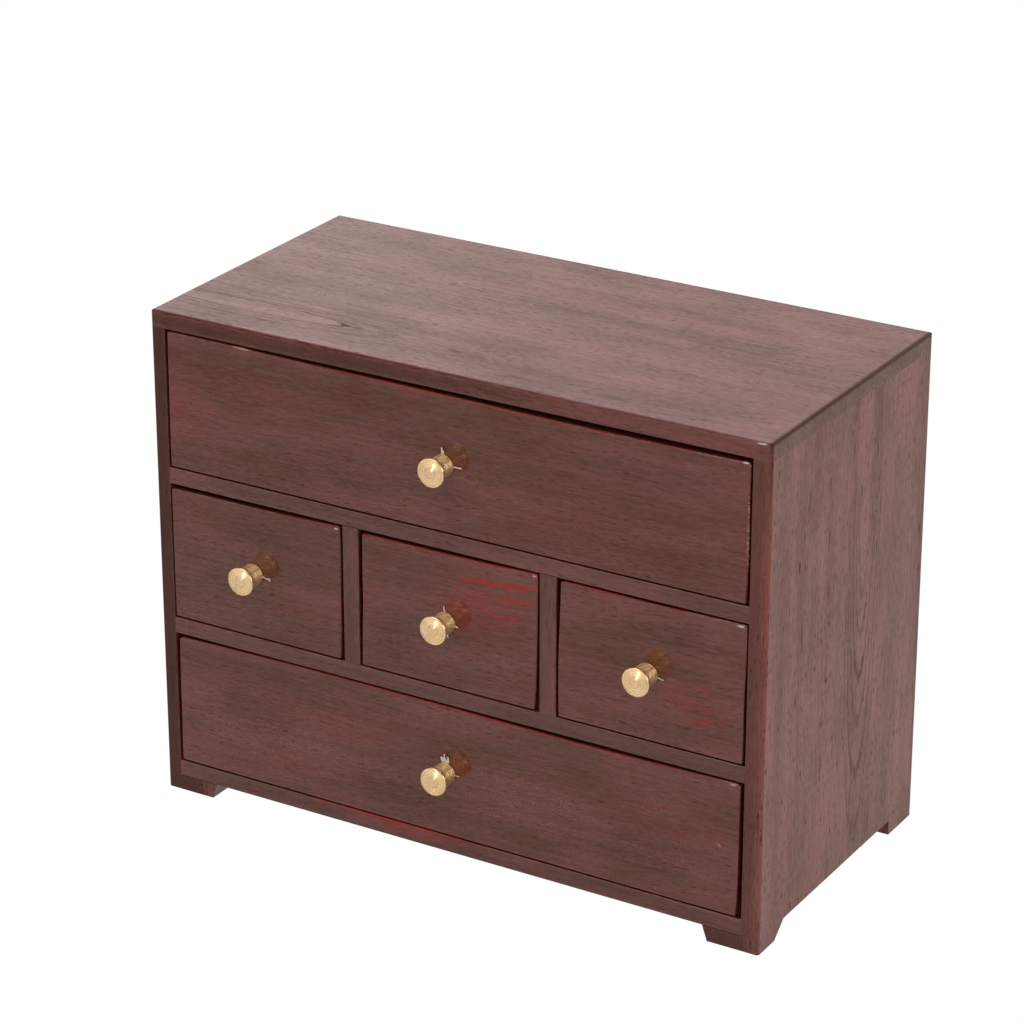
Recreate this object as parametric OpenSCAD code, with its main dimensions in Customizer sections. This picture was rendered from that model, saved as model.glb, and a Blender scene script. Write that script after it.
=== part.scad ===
// Desktop chest of five mini drawers.
// A plain box of thin hardwood boards stands on four small glued feet. One wide drawer
// lies above, three small ones side by side in the middle row, and one wide drawer below.
// Every drawer pulls straight out towards -Y by a turned brass knob.
// Origin: the middle of the footprint, knobs included, on the surface that it stands on.

/* [Cabinet] */
// Width over the two side boards
cabinet_w = 300; // [280:1:340]
// Depth from the front edges of the boards to the back panel's outer face
cabinet_d = 147; // [130:1:180]
// Thickness of the top, bottom and shelf boards
board_t = 7.6; // [7:0.1:9]
// Thickness of the left side board
left_side_t = 7.0; // [7:0.1:9]
// Thickness of the right side board
right_side_t = 8.4; // [7:0.1:9]
// Thickness of the two dividers of the middle row
divider_t = 8.0; // [7:0.1:9]
// Rounding of the box's outer edges
edge_r = 1.3; // [0.8:0.1:1.6]
// Thickness of the plywood back panel
back_t = 3.0; // [2:0.1:4]

/* [Rows] */
// Clear height of the bottom row
bottom_row_h = 63.4; // [58:0.1:76]
// Clear height of the middle row
middle_row_h = 64.2; // [58:0.1:76]
// Clear height of the top row
top_row_h = 64.4; // [58:0.1:76]

/* [Feet] */
// Height of the feet
foot_h = 7.0; // [5:0.5:12]
// Length of a foot across the front, where it meets the box
foot_w = 26.6; // [22:0.2:34]
// Depth of a foot along the side, where it meets the box
foot_d = 22.8; // [18:0.2:30]
// How far the inner end of a foot is cut back at the ground, across the front
foot_slope_w = 2.4; // [0:0.1:6]
// How far the inner end of a foot is cut back at the ground, along the side
foot_slope_d = 8.2; // [0:0.1:10]

/* [Drawers] */
// Thickness of a drawer front
front_t = 8.0; // [8:0.1:10]
// Rounding of a front's corners, as seen from the front
corner_r = 1.8; // [1:0.1:2.5]
// Rounding of a front's face edges
front_edge_r = 1.0; // [0.5:0.1:1.2]
// Thickness of a drawer's sides and back
wall_t = 5.0; // [4:0.1:6]
// Thickness of a drawer's bottom panel
floor_t = 3.0; // [2:0.1:3.5]
// How much lower the drawer's sides are than the front
side_drop = 8.0; // [4:0.5:20]

/* [Knobs] */
// Diameter of a knob's face
knob_d = 13.0; // [10:0.5:16]
// Length of a knob, from the drawer front to its face
knob_l = 10.6; // [9:0.2:14]
// Diameter of the foot that sits on the drawer front
knob_base_d = 10.0; // [9:0.2:12]
// Diameter of the neck behind the face
knob_neck_d = 9.6; // [8:0.2:11]
// How far left of the middle the knobs are drilled
knob_off_x = 1.2; // [0:0.1:3]
// How far below the middle the knobs are drilled
knob_off_z = 0.6; // [0:0.1:3]

/* [Hidden] */
$fn = 64;
eps = 0.01;

// Levels of the boards, counted up from the ground
bottom_z = foot_h;
bottom_row_z = bottom_z + board_t;
lower_shelf_z = bottom_row_z + bottom_row_h;
middle_row_z = lower_shelf_z + board_t;
upper_shelf_z = middle_row_z + middle_row_h;
top_row_z = upper_shelf_z + board_t;
top_z = top_row_z + top_row_h;

// The front edges' plane and the cabinet's left face
front_y = knob_l / 2 - cabinet_d / 2;
left_x = -cabinet_w / 2;

// Inside of the cabinet: its left wall, its width, and the width of one middle opening
inner_x = left_x + left_side_t;
inner_w = cabinet_w - left_side_t - right_side_t;
small_w = (inner_w - 2 * divider_t) / 3;
column_step = small_w + divider_t;

// The back panel lies in rebates that run up the sides and along the top board
rebate_w = 4.0;
rebate_d = back_t + 0.2;
panel_gap = 0.3;
shelf_d = cabinet_d - rebate_d;

// Fit of the drawers: a front stands higher off its shelf than the runners do
front_lift = 0.5;
runner_lift = 0.3;
stop_gap = 0.5;
body_gap = 0.4;
drawer_l = shelf_d - stop_gap;

// Rebate at the two ends of a drawer front, and the groove that holds the bottom panel
lip_t = 3.0;
groove_z = 4.0;
groove_depth = 2.0;
groove_play = 0.2;

// Wire pins: a head stands a little proud of the wood, and in a foot it is sunk in a hole
pin_d = 1.2;
pin_head_d = 2.4;
pin_head_t = 0.6;
pin_proud = 0.15;
pin_l = 13;
pin_edge = 7;
back_pin_step = 46;
back_pin_drop = 2.5;
foot_pin_x = 4.2;
foot_pin_y = 6.0;
foot_pin_step = 11.5;
foot_pin_sunk = 1.0;
foot_pin_hole_d = 3.0;
foot_pin_l = 9.5;

// Machine screw that holds a knob
screw_d = 4.0;
screw_play = 0.1;
screw_hole_d = 4.4;
screw_in_knob = 6.0;
screw_end_play = 1.0;
screw_head_d = 8.0;
screw_head_t = 2.2;
screw_slot_w = 1.1;
screw_slot_l = 4.6;
screw_slot_depth = 1.2;

// A drawer: its name, its opening's left edge, width, floor and height, the gap beside
// and above its front, and how far to one side it rests in its opening
NAME = 0;
OPEN_X = 1;
OPEN_W = 2;
OPEN_Z = 3;
OPEN_H = 4;
SIDE_GAP = 5;
HEAD_GAP = 6;
SHIFT = 7;
DRAWERS = [
    ["top_drawer", inner_x, inner_w, top_row_z, top_row_h, 1.0, 1.8, -0.3],
    ["left_drawer", inner_x, small_w, middle_row_z, middle_row_h, 0.8, 1.7, -0.45],
    ["middle_drawer", inner_x + column_step, small_w, middle_row_z, middle_row_h, 1.2, 1.4, 0.1],
    ["right_drawer", inner_x + 2 * column_step, small_w, middle_row_z, middle_row_h, 1.1, 1.1, 0],
    ["bottom_drawer", inner_x, inner_w, bottom_row_z, bottom_row_h, 1.5, 1.3, -0.4],
];

CABINET_NODES = [
    "top_board", "bottom_board", "left_side", "right_side", "upper_shelf", "lower_shelf",
    "left_divider", "right_divider", "back_panel", "foot_front_left", "foot_front_right",
    "foot_back_left", "foot_back_right", "back_pins", "foot_pins",
];
DRAWER_PARTS = ["front", "left_wall", "right_wall", "back_wall", "floor", "knob", "screw", "pins"];

// Size of a drawer's front, and of the box behind it
function front_w(d) = d[OPEN_W] - 2 * d[SIDE_GAP];
function front_h(d) = d[OPEN_H] - front_lift - d[HEAD_GAP];
function body_w(d) = front_w(d) - 2 * body_gap;
function wall_h(d) = front_h(d) - side_drop;
runner_drop = front_lift - runner_lift;

// ---- Helpers ----

// Flat rectangle with its lower left corner at the origin and round corners
module round_rect(w, h, r) {
    translate([r, 0]) square([w - 2 * r, h]);
    translate([0, r]) square([w, h - 2 * r]);
    for (x = [r, w - r], y = [r, h - r])
        translate([x, y]) circle(r);
}

// Extrudes an outline drawn in X and Z backwards, from y = 0
module along_y(length) {
    translate([0, length, 0]) rotate([90, 0, 0]) linear_extrude(length) children();
}

// Extrudes an outline drawn in Y and Z to the right, from x = 0
module along_x(length) {
    rotate([90, 0, 90]) linear_extrude(length) children();
}

// Places children in a drawer's own frame: the lower left corner of its front face
module in_drawer(d) {
    translate([d[OPEN_X] + d[SIDE_GAP] + d[SHIFT], front_y, d[OPEN_Z] + front_lift]) children();
}

// Headed wire pin that is driven along +Z into a face at z = 0
module pin(length = pin_l) {
    translate([0, 0, -pin_proud]) {
        cylinder(h = pin_head_t, d = pin_head_d, $fn = 24);
        cylinder(h = length, d = pin_d, $fn = 24);
    }
}

// ---- Cabinet ----

// Lies flat over the sides, with round corners in plan and a rebate at the back. Its upper
// edges are rounded, and the lower ones stay square.
module top_board() {
    color([0.42, 0.32, 0.30])
        translate([left_x, front_y, top_z]) difference() {
            intersection() {
                linear_extrude(board_t) round_rect(cabinet_w, cabinet_d, edge_r);
                translate([0, 0, -edge_r]) {
                    along_y(cabinet_d) round_rect(cabinet_w, board_t + edge_r, edge_r);
                }
                translate([0, 0, -edge_r]) {
                    along_x(cabinet_w) round_rect(cabinet_d, board_t + edge_r, edge_r);
                }
            }
            translate([left_side_t - rebate_w, cabinet_d - rebate_d, -eps])
                cube([inner_w + 2 * rebate_w, rebate_d + eps, rebate_w + eps]);
        }
}

// Upright side board with its outer face at x = 0 and its body on the +X side. Only the
// two outer upright edges are rounded.
module side_board(thickness) {
    linear_extrude(top_z - bottom_z) difference() {
        intersection() {
            round_rect(thickness + edge_r, cabinet_d, edge_r);
            square([thickness, cabinet_d]);
        }
        translate([thickness - rebate_w, cabinet_d - rebate_d]) square([rebate_w + eps, rebate_d + eps]);
    }
}

module left_side() {
    color([0.38, 0.29, 0.27])
        translate([left_x, front_y, bottom_z]) side_board(left_side_t);
}

module right_side() {
    color([0.40, 0.31, 0.28])
        translate([left_x + cabinet_w, front_y, bottom_z]) mirror([1, 0, 0]) side_board(right_side_t);
}

// Board between the sides: the bottom of the cabinet or a shelf
module inner_board(z) {
    color([0.35, 0.26, 0.23])
        translate([inner_x, front_y, z]) cube([inner_w, shelf_d, board_t]);
}

// Divider beside the opening of the given column, counted from the left
module divider(column) {
    color([0.35, 0.26, 0.23])
        translate([inner_x + column * column_step - divider_t, front_y, middle_row_z])
            cube([divider_t, shelf_d, middle_row_h]);
}

// Lies in the rebates of the sides and the top board, over the back edges of the inner boards
module back_panel() {
    color([0.50, 0.38, 0.30])
        translate([inner_x - rebate_w + panel_gap, front_y + shelf_d, bottom_z + panel_gap])
            cube([
                inner_w + 2 * rebate_w - 2 * panel_gap,
                back_t,
                top_z + rebate_w - bottom_z - 2 * panel_gap,
            ]);
}

// Foot block in the corner x = 0, y = 0, under the box. The first slope is cut on the
// end that points along the front, and the second on the end that points along the side.
module foot_block(slope_w, slope_d) {
    intersection() {
        along_y(foot_d) polygon([[0, 0], [foot_w - slope_w, 0], [foot_w, foot_h], [0, foot_h]]);
        along_x(foot_w) polygon([[0, 0], [foot_d - slope_d, 0], [foot_d, foot_h], [0, foot_h]]);
        linear_extrude(foot_h) intersection() {
            round_rect(foot_w + edge_r, foot_d + edge_r, edge_r);
            square([foot_w, foot_d]);
        }
    }
}

// Places children at each of a foot's two pins, in the frame of foot_block()
module at_foot_pins() {
    for (x = [foot_pin_x, foot_pin_x + foot_pin_step])
        translate([x, foot_pin_y, foot_pin_sunk]) children();
}

// Frame of one foot: side is -1 for left or 1 for right, and end is -1 for the front or
// 1 for the back
module in_foot(side, end) {
    translate([side * cabinet_w / 2, front_y + (end > 0 ? cabinet_d : 0), 0])
        mirror([side > 0 ? 1 : 0, 0, 0]) mirror([0, end > 0 ? 1 : 0, 0]) children();
}

// The back feet have their steep end towards the middle of the back
module foot(side, end) {
    color([0.33, 0.24, 0.21])
        in_foot(side, end) difference() {
            if (end < 0) foot_block(foot_slope_w, foot_slope_d);
            else foot_block(foot_slope_d, 0);
            at_foot_pins() translate([0, 0, -foot_pin_sunk - eps])
                cylinder(h = foot_pin_sunk + pin_head_t + eps, d = foot_pin_hole_d);
        }
}

// Pins driven through the back panel's rim into the ledges of the rebates and into the
// bottom board
module back_pins() {
    inset = (rebate_w - panel_gap) / 2;
    x_lo = inner_x - inset;
    x_hi = inner_x + inner_w + inset;
    z_lo = bottom_row_z - back_pin_drop;
    z_hi = top_z + inset;
    n_x = round((x_hi - x_lo) / back_pin_step);
    n_z = round((z_hi - z_lo) / back_pin_step);
    color("silver")
        translate([0, front_y + shelf_d + back_t, 0]) {
            for (i = [0 : n_x], z = [z_lo, z_hi])
                translate([x_lo + (x_hi - x_lo) * i / n_x, 0, z]) rotate([90, 0, 0]) pin();
            for (i = [1 : n_z - 1], x = [x_lo, x_hi])
                translate([x, 0, z_lo + (z_hi - z_lo) * i / n_z]) rotate([90, 0, 0]) pin();
        }
}

// Two pins up through each foot, into a side and into the bottom board
module foot_pins() {
    color("silver")
        for (side = [-1, 1], end = [-1, 1])
            in_foot(side, end) at_foot_pins() translate([0, 0, pin_proud]) pin(foot_pin_l);
}

// ---- Drawers ----

// Front board: its face is at y = 0. The sides sit in rebates at its two ends, and the
// bottom panel in a groove.
module drawer_front(d) {
    w = front_w(d);
    h = front_h(d);
    color([0.36, 0.23, 0.21])
        in_drawer(d) difference() {
            intersection() {
                along_y(front_t) round_rect(w, h, corner_r);
                linear_extrude(h) round_rect(w, front_t + front_edge_r, front_edge_r);
                along_x(w) round_rect(front_t + front_edge_r, h, front_edge_r);
            }
            for (x = [-eps, w - body_gap - wall_t])
                translate([x, lip_t, -eps])
                    cube([body_gap + wall_t + eps, front_t, wall_h(d) - runner_drop + 2 * eps]);
            translate([body_gap + wall_t - eps, front_t - lip_t, groove_z])
                cube([w - 2 * body_gap - 2 * wall_t + 2 * eps, front_t, floor_t + groove_play]);
            translate([w / 2 - knob_off_x, -eps, h / 2 - knob_off_z]) rotate([-90, 0, 0])
                cylinder(h = front_t + 2 * eps, d = screw_hole_d);
        }
}

// Side wall with its outer face at x = 0, and a groove for the bottom panel on its inside
module wall_board(d) {
    difference() {
        cube([wall_t, drawer_l - lip_t, wall_h(d)]);
        translate([wall_t - groove_depth, -eps, groove_z + runner_drop])
            cube([groove_depth + eps, drawer_l, floor_t + groove_play]);
    }
}

module drawer_left_wall(d) {
    color([0.66, 0.50, 0.38])
        in_drawer(d) translate([body_gap, lip_t, -runner_drop]) wall_board(d);
}

module drawer_right_wall(d) {
    color([0.66, 0.50, 0.38])
        in_drawer(d) translate([front_w(d) - body_gap, lip_t, -runner_drop])
            mirror([1, 0, 0]) wall_board(d);
}

// Back wall between the sides, standing on the bottom panel
module drawer_back_wall(d) {
    z = groove_z + groove_play / 2 + floor_t;
    color([0.64, 0.48, 0.36])
        in_drawer(d) translate([body_gap + wall_t, drawer_l - wall_t, z])
            cube([body_w(d) - 2 * wall_t, wall_t, wall_h(d) - runner_drop - z]);
}

// Bottom panel, slid into its grooves from behind
module drawer_floor(d) {
    tongue = groove_depth - groove_play;
    y = front_t - lip_t + groove_play;
    color([0.72, 0.57, 0.43])
        in_drawer(d) translate([body_gap + wall_t - tongue, y, groove_z + groove_play / 2])
            cube([body_w(d) - 2 * wall_t + 2 * tongue, drawer_l - y, floor_t]);
}

// Pins through the sides into the front and the back wall, and up through the bottom panel
module drawer_pins(d) {
    w = front_w(d);
    z_low = groove_z + floor_t + pin_edge;
    z_high = wall_h(d) - pin_edge;
    floor_pins = w > 2 * small_w ? 5 : 3;
    color("silver")
        in_drawer(d) {
            for (y = [(lip_t + front_t) / 2, drawer_l - wall_t / 2], z = [z_low, z_high]) {
                translate([body_gap, y, z]) rotate([0, 90, 0]) pin();
                translate([w - body_gap, y, z]) rotate([0, -90, 0]) pin();
            }
            for (i = [0 : floor_pins - 1])
                translate([
                    body_gap + wall_t + (body_w(d) - 2 * wall_t) * (i + 0.5) / floor_pins,
                    drawer_l - wall_t / 2,
                    groove_z + groove_play / 2,
                ])
                    pin();
        }
}

// Centre of a drawer's knob on the front face, with +Z turned to point out of the face
module at_knob(d) {
    in_drawer(d) translate([front_w(d) / 2 - knob_off_x, 0, front_h(d) / 2 - knob_off_z])
        rotate([90, 0, 0]) children();
}

// Turned knob: a body that narrows a little towards its neck, then flares out to a flat disc
module knob_profile() {
    base_r = knob_base_d / 2;
    neck_r = knob_neck_d / 2;
    face_r = knob_d / 2;
    rim_t = 0.9;
    chamfer = 0.35;
    flare_angle = 40;
    flare_r = (face_r - chamfer - neck_r) / (1 - cos(flare_angle));
    neck_l = knob_l - rim_t - flare_r * sin(flare_angle);
    polygon(concat(
        [[0, 0], [base_r - chamfer, 0], [base_r, chamfer]],
        [for (a = [0:8:flare_angle]) [neck_r + flare_r * (1 - cos(a)), neck_l + flare_r * sin(a)]],
        [
            [face_r, knob_l - rim_t + chamfer], [face_r, knob_l - chamfer],
            [face_r - chamfer, knob_l], [0, knob_l],
        ]
    ));
}

module drawer_knob(d) {
    dimple_r = 0.5;
    color([0.80, 0.66, 0.42])
        at_knob(d) difference() {
            rotate_extrude() knob_profile();
            translate([0, 0, -eps])
                cylinder(h = screw_in_knob + screw_end_play, d = screw_d + 2 * screw_play);
            translate([0, 0, knob_l - dimple_r / 2]) cylinder(h = dimple_r, r1 = 0, r2 = 2 * dimple_r);
        }
}

// Screw with a domed, cross-slotted head inside the drawer
module drawer_screw(d) {
    dome_r = 5;
    color([0.75, 0.75, 0.77])
        at_knob(d) difference() {
            union() {
                translate([0, 0, -front_t - eps]) cylinder(h = front_t + screw_in_knob, d = screw_d);
                intersection() {
                    translate([0, 0, -front_t - screw_head_t])
                        cylinder(h = screw_head_t, d = screw_head_d);
                    translate([0, 0, -front_t - screw_head_t + dome_r]) sphere(dome_r);
                }
            }
            for (turn = [0, 90])
                translate([0, 0, -front_t - screw_head_t]) rotate([0, 0, turn])
                    cube([screw_slot_l, screw_slot_w, 2 * screw_slot_depth], center = true);
        }
}

top_board();
inner_board(bottom_z);  // bottom_board
left_side();
right_side();
inner_board(upper_shelf_z);  // upper_shelf
inner_board(lower_shelf_z);  // lower_shelf
divider(1);  // left_divider
divider(2);  // right_divider
back_panel();
foot(-1, -1);  // foot_front_left
foot(1, -1);  // foot_front_right
foot(-1, 1);  // foot_back_left
foot(1, 1);  // foot_back_right
back_pins();
foot_pins();

for (d = DRAWERS) {
    drawer_front(d);
    drawer_left_wall(d);
    drawer_right_wall(d);
    drawer_back_wall(d);
    drawer_floor(d);
    drawer_knob(d);
    drawer_screw(d);
    drawer_pins(d);
}
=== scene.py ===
# %% [markdown]
# # A desktop chest of five mini drawers
# The real thing is a small box of dark hardwood boards on four low feet. One wide drawer lies
# above, three small ones side by side in the middle, and one wide drawer below, each with a
# turned brass knob. Its joinery is loaded here at its real size: boards, drawer walls, bottom
# panels, screws and pins. This lesson gives it what the eye meets first: stain and lacquer with
# open pores, rubbed edges, the uneven gaps of hand-fitted drawer fronts, and bright knobs.
#
# Loading comes first, because every later step asks the frame where things are.

import math
from types import SimpleNamespace

import bmesh
import bpy
from mathutils import Matrix, Vector


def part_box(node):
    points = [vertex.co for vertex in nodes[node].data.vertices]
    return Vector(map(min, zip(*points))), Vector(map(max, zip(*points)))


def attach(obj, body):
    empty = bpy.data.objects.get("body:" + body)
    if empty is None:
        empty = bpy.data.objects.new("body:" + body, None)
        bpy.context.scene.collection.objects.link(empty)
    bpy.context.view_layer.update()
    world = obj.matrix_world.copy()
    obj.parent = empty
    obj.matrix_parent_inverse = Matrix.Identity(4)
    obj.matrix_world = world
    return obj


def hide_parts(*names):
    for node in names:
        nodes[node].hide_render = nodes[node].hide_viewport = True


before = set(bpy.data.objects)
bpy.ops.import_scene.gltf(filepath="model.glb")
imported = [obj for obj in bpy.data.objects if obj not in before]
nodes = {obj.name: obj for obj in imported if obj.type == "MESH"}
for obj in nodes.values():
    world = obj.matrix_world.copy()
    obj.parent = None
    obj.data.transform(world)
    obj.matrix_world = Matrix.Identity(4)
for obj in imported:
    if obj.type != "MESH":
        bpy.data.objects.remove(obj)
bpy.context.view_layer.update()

# %% [markdown]
# Blender works in metres, but a joiner thinks in millimetres. Every size below is written in
# millimetres and multiplied by `MM` once, where it enters a mesh or a lamp. A piece's box tells
# where its neighbours lie, so that no place is typed twice.

# %% Millimetres
MM = 0.001
DRAWERS = ["top_drawer", "left_drawer", "middle_drawer", "right_drawer", "bottom_drawer"]


def box_of(node):
    """Lowest and highest corner of a node, in millimetres."""
    low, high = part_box(node)
    return low / MM, high / MM


outer_low, outer_high = box_of("top_board")
outer_low.z = box_of("left_side")[0].z
front_y = outer_low.y
print("The cabinet spans", [round(v, 1) for v in outer_high - outer_low], "mm above its feet")

# %% [markdown]
# ## The camera
# A product shot of a small chest is taken from a little above and from the right, with a long
# lens, so that upright edges stay almost upright. An aim point, two angles and a distance say
# this more plainly than a matrix would.

# %% The camera
AIM = Vector((-14.5, 7.5, 136.6))
DISTANCE = 1650.1
AZIMUTH = math.radians(30.92)
ELEVATION = math.radians(23.23)
LENS = 132.57
# How far the camera sees, in metres
SIGHT = 50

away = Vector((
    math.sin(AZIMUTH) * math.cos(ELEVATION),
    -math.cos(AZIMUTH) * math.cos(ELEVATION),
    math.sin(ELEVATION),
))
camera = bpy.data.objects.new("camera", bpy.data.cameras.new("camera"))
camera.data.lens = LENS
camera.data.clip_end = SIGHT
camera.location = (AIM + DISTANCE * away) * MM
camera.rotation_euler = (math.pi / 2 - ELEVATION, 0, AZIMUTH)
bpy.context.scene.collection.objects.link(camera)
bpy.context.scene.camera = camera
bpy.context.scene.view_settings.view_transform = "Standard"
print("The camera stands at", [round(v, 3) for v in camera.location])

# %% [markdown]
# ## Shader maths as Python sums
# A shader is a net of nodes, and long nets are hard to read as node calls. `Field` wraps one
# socket and gives it Python's signs, so that `1 - mask` or `tone * 0.4 + dust` adds the Math
# nodes by itself. `Shade` is the net, with one method for every other kind of node: its
# settings go in first, and then the values or links of its sockets.

# %% A socket that can be added and multiplied
class Field:
    """One output socket, on which Python's arithmetic works."""

    def __init__(self, shade, socket):
        self.shade = shade
        self.socket = socket

    def __getitem__(self, name):
        return Field(self.shade, self.socket.node.outputs[name])

    def __add__(self, other):
        return self.shade.maths("ADD", self, other)

    def __sub__(self, other):
        return self.shade.maths("SUBTRACT", self, other)

    def __rsub__(self, other):
        return self.shade.maths("SUBTRACT", other, self)

    def __mul__(self, other):
        return self.shade.maths("MULTIPLY", self, other)

    def __truediv__(self, other):
        return self.shade.maths("DIVIDE", self, other)

    __radd__ = __add__
    __rmul__ = __mul__


print("A Field can be added, subtracted, multiplied and divided")

# %% The net of nodes
class Shade:
    """The nodes of one material, or of the world."""

    def __init__(self, owner):
        owner.use_nodes = True
        self.owner = owner
        self.tree = owner.node_tree
        self.tree.nodes.clear()

    def node(self, kind, settings=None, inputs=None, output=0):
        made = self.tree.nodes.new("ShaderNode" + kind)
        for name, value in (settings or {}).items():
            setattr(made, name, value)
        for name, value in (inputs or {}).items():
            socket = made.inputs[name]
            if isinstance(value, Field):
                self.tree.links.new(value.socket, socket)
            elif socket.type == "RGBA":
                socket.default_value = (*value, 1)
            else:
                socket.default_value = value
        return Field(self, made.outputs[output]) if made.outputs else None

    def maths(self, operation, *values):
        return self.node("Math", {"operation": operation}, dict(enumerate(values)))


print("Shader helpers are ready")

# %% [markdown]
# ## A white studio
# The chest stands on a seamless white sweep. Lacquer and brass are mirrors, so they must see
# that white too, while the light that falls on the wood stays at a plain level. Light Path
# tells the rays apart: the camera's rays and those of mirrors find pure white, and all others
# get the soft light of the room.

# %% The world
WHITE = 1.0
ROOM_LIGHT = 0.45

world = bpy.data.worlds.new("white studio")
bpy.context.scene.world = world
room = Shade(world)
ray = room.node("LightPath")
mirror_ray = room.maths("MAXIMUM", ray["Is Glossy Ray"], ray["Is Transmission Ray"])
level = (ray["Is Camera Ray"] + mirror_ray) * (WHITE - ROOM_LIGHT) + ROOM_LIGHT
sky = room.node("Background", inputs={"Color": (1, 1, 1), "Strength": level})
room.node("OutputWorld", inputs={"Surface": sky})
print("The world glows at", ROOM_LIGHT, "and looks white")

# %% [markdown]
# The floor is one large sheet, a hair below the feet. Prints of such goods show no shadow at all
# under them, because the paper is lit until it is pure white, so the camera's rays find a glowing
# sheet. Mirrors and the wood see it a little darker, with the chest's shadow on it. From below
# the sheet is clear to the camera, so that the feet and the bottom board can be looked at.

# %% The floor
FLOOR_HALF = 6.0
FLOOR_DROP = 0.1
FLOOR_GLOW = {"Is Camera Ray": 1.0, "Is Glossy Ray": 0.56}
FLOOR_PAINT = {"Is Diffuse Ray": 0.72, "Is Glossy Ray": 0.26}

sheet = bmesh.new()
bmesh.ops.create_grid(
    sheet, x_segments=1, y_segments=1, size=FLOOR_HALF,
    matrix=Matrix.Translation((0, 0, -FLOOR_DROP * MM)),
)
floor_mesh = bpy.data.meshes.new("studio_floor")
sheet.to_mesh(floor_mesh)
sheet.free()
floor = bpy.data.objects.new("studio_floor", floor_mesh)
bpy.context.scene.collection.objects.link(floor)

paper = Shade(bpy.data.materials.new("white paper"))
ray = paper.node("LightPath")
glow = sum(ray[name] * strength for name, strength in FLOOR_GLOW.items())
grey = sum(ray[name] * strength for name, strength in FLOOR_PAINT.items())
grey_colour = paper.node("CombineXYZ", inputs={0: grey, 1: grey, 2: grey})
lit = paper.node("BsdfDiffuse", inputs={"Color": grey_colour})
glowing = paper.node("Emission", inputs={"Color": (1, 1, 1), "Strength": glow})
both = paper.node("AddShader", inputs={0: lit, 1: glowing})
from_below = paper.node("NewGeometry", output="Backfacing") * ray["Is Camera Ray"]
clear = paper.node("BsdfTransparent", inputs={"Color": (1, 1, 1)})
sheet_shader = paper.node("MixShader", inputs={0: from_below, 1: both, 2: clear})
paper.node("OutputMaterial", inputs={"Surface": sheet_shader})
floor_mesh.materials.append(paper.owner)
print("The floor is", 2 * FLOOR_HALF, "m wide")

# %% [markdown]
# Soft boxes do the rest. The large one hangs overhead, a little in front, so the top is
# brightest. The smaller one stands off to the right and lifts the side face. A faint one at the
# back puts a sheen on the top, and a far one in front draws the glint on the knobs.

# %% Soft boxes
def soft_box(name, place, width, power):
    """A square lamp that looks at the chest. Place and width are in metres, power is in watts."""
    lamp = bpy.data.lights.new(name, "AREA")
    lamp.size = width
    lamp.energy = power
    holder = bpy.data.objects.new(name, lamp)
    holder.location = place
    aim = AIM * MM - holder.location
    holder.rotation_euler = aim.to_track_quat("-Z", "Y").to_euler()
    bpy.context.scene.collection.objects.link(holder)
    print(name, "gives", power, "W")


soft_box("overhead_box", (-0.3, -0.3, 1.7), 1.2, 14)
soft_box("right_box", (1.75, -0.4, 0.85), 0.9, 13)
soft_box("back_box", (-1.6, 1.6, 1.05), 1.0, 1.5)
soft_box("glint_box", (-1.08, -4.88, 0.97), 0.5, 8)

# %% [markdown]
# ## How a board gets its grain
# Wood is a solid pattern, not a picture glued to a face, so the pattern is worked out in three
# dimensions from Object coordinates. Every piece sits at the origin with its place in its mesh,
# and so these coordinates are the joiner's own millimetres. First come the small tools: soft
# steps, cloudy noise with lumps of a given size, and ovals that say where something happens.

# %% Places and steps
# Farther than any piece reaches, in millimetres
FAR = 1e4


def millimetres(shade):
    """The place of a surface point, in millimetres."""
    where = shade.node("TexCoord", output="Object")
    return shade.node("Mapping", {"vector_type": "POINT"}, {"Vector": where, "Scale": (1 / MM,) * 3})


def parts(vector):
    split = vector.shade.node("SeparateXYZ", inputs={0: vector})
    return split["X"], split["Y"], split["Z"]


def joined(x, y, z):
    return x.shade.node("CombineXYZ", inputs={0: x, 1: y, 2: z})


def rise(value, low, high):
    """0 where value is at low, 1 where it is at high, and a smooth way between."""
    return value.shade.node(
        "MapRange", {"interpolation_type": "SMOOTHSTEP"}, {0: value, 1: low, 2: high}
    )


def least(one, other):
    return one.shade.maths("MINIMUM", one, other)


def most(one, other):
    return one.shade.maths("MAXIMUM", one, other)


print("Places and soft steps are ready")

# %% Noise, grains and ovals
def scaled(place, size, centre=(0, 0, 0), turn=(0, 0, 0)):
    """The place as seen from centre, counted in steps of size."""
    return place.shade.node(
        "Mapping",
        {"vector_type": "TEXTURE"},
        {"Vector": place, "Location": centre, "Rotation": turn, "Scale": size},
    )


def noise(place, size, detail=2, roughness=0.5):
    """Clouds round 0 whose lumps are about size millimetres."""
    settings = {"Vector": scaled(place, size), "Scale": 1, "Detail": detail, "Roughness": roughness}
    return place.shade.node("TexNoise", None, settings) - 0.5


def cells_of(place, size):
    """Grains of about size millimetres: the distance from a grain's middle, and its chance."""
    grains = place.shade.node("TexVoronoi", None, {"Vector": scaled(place, size), "Scale": 1})
    return grains["Distance"], parts(grains["Color"])[0]


def oval(place, centre, reach, turn=(0, 0, 0), hollow=0.0):
    """1 at centre, falling to 0 at reach millimetres from it along each axis. A hollow oval is
    only its outline, hollow times as wide as the oval."""
    spot = scaled(place, reach, centre, turn)
    length = spot.shade.node("VectorMath", {"operation": "LENGTH"}, {0: spot}, output="Value")
    if hollow:
        return rise(place.shade.maths("ABSOLUTE", length - 1), hollow, 0)
    return rise(length, 1, 0)


def mix(share, first, second):
    """A colour between first and second."""
    return share.shade.node("Mix", {"data_type": "RGBA"}, {0: share, 6: first, 7: second}, output=2)


print("Noise, grains and ovals are ready")

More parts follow.
